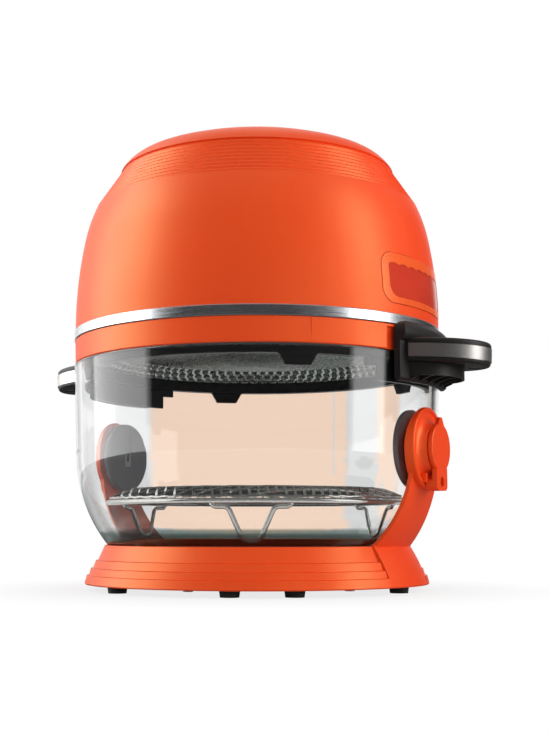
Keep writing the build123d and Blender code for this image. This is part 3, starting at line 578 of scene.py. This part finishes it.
def makeRackTop():
    halfLong, halfShort = rack["longWay"] / 2, rack["shortWay"] / 2
    wide, thick = rack["strand"]
    columns = int(rack["trayEdge"] / halfLong) + 1
    rows = int(rack["trayEdge"] / halfShort) + 1
    verts, faces = [], []

    def knot(i, j):
        x, y = i * halfLong, j * halfShort
        lift = rack["lift"] * (1 if (i + j) % 4 < 2 else -1)
        return Vector((x, y, trayHeight(hypot(x, y)) + lift))

    for i in range(-columns, columns):
        for j in range(-rows, rows + 1):
            if (i + j) % 2:
                continue
            for nextJ in (j + 1, j - 1):
                a, b = knot(i, j), knot(i + 1, nextJ)
                if max(hypot(a.x, a.y), hypot(b.x, b.y)) > rack["trayEdge"]:
                    continue
                along = (b - a).normalized()
                side = along.cross(Vector((0, 0, 1))).normalized()
                up = side.cross(along)
                tilt = rack["strandTilt"] if nextJ > j else -rack["strandTilt"]
                flat = (side * cos(tilt) + up * sin(tilt)) * wide / 2
                deep = (up * cos(tilt) - side * sin(tilt)) * thick / 2
                overlap = along * rack["strandOverlap"]
                start = len(verts)
                for end in (a - overlap, b + overlap):
                    verts += [end + flat + deep, end - flat + deep, end - flat - deep, end + flat - deep]
                faces += [tuple(start + n for n in face) for face in (
                    (0, 1, 5, 4), (1, 2, 6, 5), (2, 3, 7, 6), (3, 0, 4, 7), (3, 2, 1, 0), (4, 5, 6, 7),
                )]
    edge = circle(rack["trayEdge"] + rack["edgeOut"], rack["hoopZ"] + rack["edgeLift"], 200,
                  rack["edgeRipple"], rack["edgeWaves"])
    edgeVerts, edgeFaces = wireMesh(edge, rack["edgeWire"], 8, closed=True)
    start = len(verts)
    verts += edgeVerts
    faces += [tuple(start + n for n in face) for face in edgeFaces]
    piece = meshPiece("rackTop", verts, faces, "rackSteel", "rack", smooth=False)
    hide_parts("rack_top")


makeHoop()
makeLegs()
makeRackTop()
print("rack made")

# Guard over the element: fine hexagons in the middle, large ones on the sloping border
guard = {
    "flatZ": 0.180,
    "flatRadius": 0.106,
    "edgeRadius": 0.1212,
    "edgeZ": 0.172,
    "sheet": 0.0006,
    "finePitch": 0.0041,
    "fineHole": 0.36,    # radius of a hole as a share of the pitch
    "rim": 0.0007,       # how far the edge of a hole is pressed down
    "fineMargin": 0.4,   # middles of the fine cells stay this share of a pitch inside the flat part
    "largePitch": 0.0078,
    "largeHole": 0.42,
    "largeRows": 3,
    "innerRowHole": 0.9,    # holes of the innermost large row, as a share of the others
}


def guardHeight(radius):
    if radius <= guard["flatRadius"]:
        return guard["flatZ"]
    share = (radius - guard["flatRadius"]) / (guard["edgeRadius"] - guard["flatRadius"])
    return guard["flatZ"] - (guard["flatZ"] - guard["edgeZ"]) * share


# One cell of perforated sheet: a hexagon with a six-sided hole
def addHexCell(verts, faces, centre, outer, inner, toSpace):
    start = len(verts)
    sheet = guard["sheet"]
    for radius, depth in ((outer, 0), (inner, -guard["rim"]), (inner, sheet), (outer, sheet)):
        for k in range(6):
            turn = radians(30 + 60 * k)
            verts.append(toSpace(centre[0] + radius * cos(turn), centre[1] + radius * sin(turn), depth))
    for k in range(6):
        n = (k + 1) % 6
        faces.append((start + k, start + 6 + k, start + 6 + n, start + n))
        faces.append((start + 6 + k, start + 12 + k, start + 12 + n, start + 6 + n))
        faces.append((start + 12 + k, start + 18 + k, start + 18 + n, start + 12 + n))


def makeGuard():
    verts, faces = [], []
    pitch = guard["finePitch"]
    rowStep = pitch * sqrt(0.75)
    rows = int(guard["flatRadius"] / rowStep)
    for row in range(-rows, rows + 1):
        for column in range(-rows, rows + 1):
            x, y = pitch * (column + 0.5 * (row % 2)), rowStep * row
            if hypot(x, y) < guard["flatRadius"] - pitch * guard["fineMargin"]:
                addHexCell(verts, faces, (x, y), pitch / sqrt(3), pitch * guard["fineHole"],
                           lambda u, v, d: (u, v, guard["flatZ"] + d))

    # the border is a band unrolled: u runs round it, v up its slope
    middle = (guard["flatRadius"] + guard["edgeRadius"]) / 2
    slope = hypot(guard["edgeRadius"] - guard["flatRadius"], guard["flatZ"] - guard["edgeZ"])
    large = guard["largePitch"]
    count = round(2 * pi * middle / large)
    pitchU = 2 * pi / count
    outer, hole = large / sqrt(3), large * guard["largeHole"]

    def onBorder(u, v, d):
        radius = guard["flatRadius"] + v / slope * (guard["edgeRadius"] - guard["flatRadius"])
        return (radius * cos(u), radius * sin(u), guardHeight(radius) + d)

    rowV = large * sqrt(0.75)
    for row in range(guard["largeRows"]):
        v = slope / 2 + (row - 1) * rowV
        inner = hole if row else hole * guard["innerRowHole"]
        for k in range(count):
            u = pitchU * (k + 0.5 * (row % 2))
            addHexCell(verts, faces, (0, 0), outer, inner, lambda a, b, d, u=u, v=v: onBorder(
                u + a / large * pitchU, min(slope, max(0, v + b)), d))
    piece = meshPiece("guardSheet", verts, faces, "guardSteel", "head", smooth=False)
    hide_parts("guard_mesh")


makeGuard()
print("guard made")

# Floor and lights
studio = {
    "ambient": 0.50,
    "floorSize": 6.0,
    "floorColour": (0.62, 0.62, 0.62),
    "floorRoughness": 0.6,
    "floorSpecular": 0.1,
    "floorGlow": 0.80,   # plain white's share of the near floor, which keeps the orange out of it
    "whiteFrom": 0.135,  # distance from the middle where the floor starts to fade to the backdrop's white
    "whiteTo": 0.24,
    "floorShine": 0.12,  # how light the floor is in glossy faces
    "nearGrey": (0.7, 0.7, 0.7),   # the near floor, through the glass
    "tintFrom": 1.4,     # distance where the floor starts to take the backdrop's colour, through the glass
    "tintTo": 1.6,
    "frontDark": 0.05,   # what glossy faces see in front of the object, level and high up
    "frontHigh": 0.30,
    "highStep": (0.50, 0.15),      # height of the step between the two, and its softness
    "panelSoft": 0.08,   # softness of the panels' upper and lower edges
    "backdropStep": (152, 8),
    "throughMost": 1.5,
    "throughWhite": (1.0, 1.0, 1.0),
    # painted reflection: the grey put into the backdrop seen through the glass
    "paintedReflectionGrey": (0.75, 0.75, 0.755),
    "throughPeach": (1.0, 0.745, 0.59),
    "peachBearings": (170.5, 189.5),   # the part of the backdrop behind the bowl
    "peachSoft": 0.5,
    "paintedReflectionBearings": ((186.2, 189.5), (172.7, 174.9)),   # bearings of grey bands of painted reflection, where reflections wash the peach out
    "paintedReflectionSoft": 0.25,
}
# What shines back from glossy faces: soft panels round the object. Bearings are degrees from the camera's
# side, positive to the right of the picture, and heights are sines of the angle above level.
panels = {
    "leftPanel": {"from": -120, "to": -70, "edge": 2.5, "low": -0.1, "high": 0.75, "strength": 4.3},
    "leftWall": {"from": -152, "to": -120, "edge": 6, "low": -0.3, "high": 0.9, "strength": 1.0},
    "rightPanel": {"from": 60, "to": 84, "edge": 2.0, "low": -0.1, "high": 0.7, "strength": 4.3},
}
# These lamps light the object, but don't show in its glossy faces
lampAim = (0, 0, 0.17)
lamps = {
    "leftKey": {"bearing": -80, "height": 0.55, "distance": 1.15, "size": (0.8, 1.1), "power": 8.0},
    "rightKey": {"bearing": 74, "height": 0.50, "distance": 1.15, "size": (0.5, 0.9), "power": 7.5},
    "frontFill": {"bearing": 28, "height": 0.30, "distance": 1.4, "size": (0.8, 0.6), "power": 3.5},
    "topLamp": {"bearing": 0, "height": 1.35, "distance": 0.12, "size": (0.9, 0.9), "power": 2.5},
}
towardCamera = Vector((camera["place"][0], camera["place"][1], 0)).normalized()
pictureRight = Vector((-towardCamera.y, towardCamera.x, 0))


# 0 below middle - edge, 1 above middle + edge, with a soft step between
def softStep(world, value, middle, edge):
    ends = {"Value": value, "From Min": middle - edge, "From Max": middle + edge}
    return addNode(world, "ShaderNodeMapRange", ends, interpolation_type="SMOOTHSTEP").outputs[0]


def softBand(world, value, low, high, edge):
    return mathNode(world, "MULTIPLY", softStep(world, value, low, edge),
                    mathNode(world, "SUBTRACT", 1.0, softStep(world, value, high, edge)))


# Colour of the backdrop as the glass shows it, by bearing, with grey bands of painted reflection
def backdropTintAndPaintedReflection(mat, bearing):
    behind = mathNode(mat, "MODULO", mathNode(mat, "ADD", bearing, 360.0), 360.0)
    warm = softBand(mat, behind, *studio["peachBearings"], studio["peachSoft"])
    tint = mixColours(mat, warm, studio["throughWhite"], studio["throughPeach"])
    # painted reflection: grey bands laid over the peach
    for low, high in studio["paintedReflectionBearings"]:
        grey = softBand(mat, behind, low, high, studio["paintedReflectionSoft"])
        tint = mixColours(mat, grey, tint, studio["paintedReflectionGrey"])
    return tint


# Bearing of a direction, in degrees from the camera's side
def bearingOf(mat, direction):
    ahead = addNode(mat, "ShaderNodeVectorMath", {0: direction, 1: towardCamera}, operation="DOT_PRODUCT")
    across = addNode(mat, "ShaderNodeVectorMath", {0: direction, 1: pictureRight}, operation="DOT_PRODUCT")
    turn = mathNode(mat, "ARCTAN2", across.outputs["Value"], ahead.outputs["Value"])
    return mathNode(mat, "MULTIPLY", turn, 180 / pi)


def makeWorld():
    world = bpy.data.worlds.new("studioWorld")
    scene.world = world
    world.use_nodes = True
    world.node_tree.nodes.clear()
    aim = addNode(world, "ShaderNodeTexCoord").outputs["Generated"]
    up = addNode(world, "ShaderNodeSeparateXYZ", {0: aim}).outputs[2]
    bearing = bearingOf(world, aim)

    # mirror-like rays: dark behind the camera, soft panels at the sides, white backdrop
    high = softStep(world, up, *studio["highStep"])
    shine = mathNode(world, "MULTIPLY", high, studio["frontHigh"])
    shine = mathNode(world, "ADD", shine, studio["frontDark"])
    for panel in panels.values():
        across = softBand(world, bearing, panel["from"], panel["to"], panel["edge"])
        upright = softBand(world, up, panel["low"], panel["high"], studio["panelSoft"])
        spot = mathNode(world, "MULTIPLY", across, upright)
        shine = mathNode(world, "ADD", shine, mathNode(world, "MULTIPLY", spot, panel["strength"]))
    turned = mathNode(world, "ABSOLUTE", bearing)
    shine = mathNode(world, "MAXIMUM", shine, softStep(world, turned, *studio["backdropStep"]))

    # rays through the glass: the same but less bright, with a warm patch behind the bowl and grey bands of
    # painted reflection
    level = mathNode(world, "MINIMUM", shine, studio["throughMost"])
    tint = backdropTintAndPaintedReflection(world, bearing)

    ray = addNode(world, "ShaderNodeLightPath")
    white = (1, 1, 1, 1)
    last = addNode(world, "ShaderNodeBackground", {"Color": white, "Strength": studio["ambient"]}).outputs[0]
    for flag, colour, strength in (("Is Glossy Ray", white, shine), ("Is Transmission Ray", tint, level),
                                   ("Is Camera Ray", white, 1.0)):
        other = addNode(world, "ShaderNodeBackground", {"Color": colour, "Strength": strength}).outputs[0]
        last = addNode(world, "ShaderNodeMixShader", {0: ray.outputs[flag], 1: last, 2: other}).outputs[0]
    addNode(world, "ShaderNodeOutputWorld", {"Surface": last})


def makeFloor():
    half = studio["floorSize"] / 2
    mesh = bpy.data.meshes.new("floor")
    corners = [(-half, -half, 0), (half, -half, 0), (half, half, 0), (-half, half, 0)]
    mesh.from_pydata(corners, [], [(0, 1, 2, 3)])
    floor = bpy.data.objects.new("floor", mesh)
    scene.collection.objects.link(floor)
    mat = newMaterial("floorWhite")
    setShader(mat, Base_Color=studio["floorColour"], Roughness=studio["floorRoughness"],
              Specular_IOR_Level=studio["floorSpecular"])
    away = addNode(mat, "ShaderNodeVectorMath", {0: place(mat)}, operation="LENGTH").outputs["Value"]
    fade = mapTo(mat, away, studio["floorGlow"], 1.0, studio["whiteFrom"], studio["whiteTo"])

    # through the glass the floor is grey, and far out it takes the backdrop's colour with its grey bands of
    # painted reflection
    # in glossy faces it is dark
    ray = addNode(mat, "ShaderNodeLightPath")
    fromCamera = addNode(mat, "ShaderNodeVectorMath", {0: place(mat), 1: camera["place"]},
                         operation="SUBTRACT").outputs[0]
    far = mapTo(mat, away, 0.0, 1.0, studio["tintFrom"], studio["tintTo"])
    tint = mixColours(mat, far, studio["nearGrey"], backdropTintAndPaintedReflection(mat, bearingOf(mat, fromCamera)))
    white = (1, 1, 1, 1)
    last = shaderOf(mat).outputs[0]
    for flag, share, colour, strength in (("Is Glossy Ray", 1.0, white, studio["floorShine"]),
                                          ("Is Transmission Ray", 1.0, tint, 1.0),
                                          ("Is Camera Ray", fade, white, 1.0)):
        other = addNode(mat, "ShaderNodeEmission", {"Color": colour, "Strength": strength}).outputs[0]
        part = mathNode(mat, "MULTIPLY", share, ray.outputs[flag])
        last = addNode(mat, "ShaderNodeMixShader", {0: part, 1: last, 2: other}).outputs[0]
    mat.node_tree.links.new(last, mat.node_tree.nodes["Material Output"].inputs["Surface"])
    mesh.materials.append(mat)


def makeLamps():
    for name, lamp in lamps.items():
        data = bpy.data.lights.new(name, "AREA")
        data.shape = "RECTANGLE"
        data.size, data.size_y = lamp["size"]
        data.energy = lamp["power"]
        light = bpy.data.objects.new(name, data)
        side = Matrix.Rotation(radians(lamp["bearing"]), 3, "Z") @ towardCamera
        light.location = side * lamp["distance"] + Vector((0, 0, lamp["height"]))
        light.rotation_euler = (Vector(lampAim) - light.location).to_track_quat("-Z", "Y").to_euler()
        light.visible_glossy = False
        light.visible_transmission = False
        scene.collection.objects.link(light)


makeWorld()
makeFloor()
makeLamps()
scene.view_settings.view_transform = "Standard"
print("studio made")
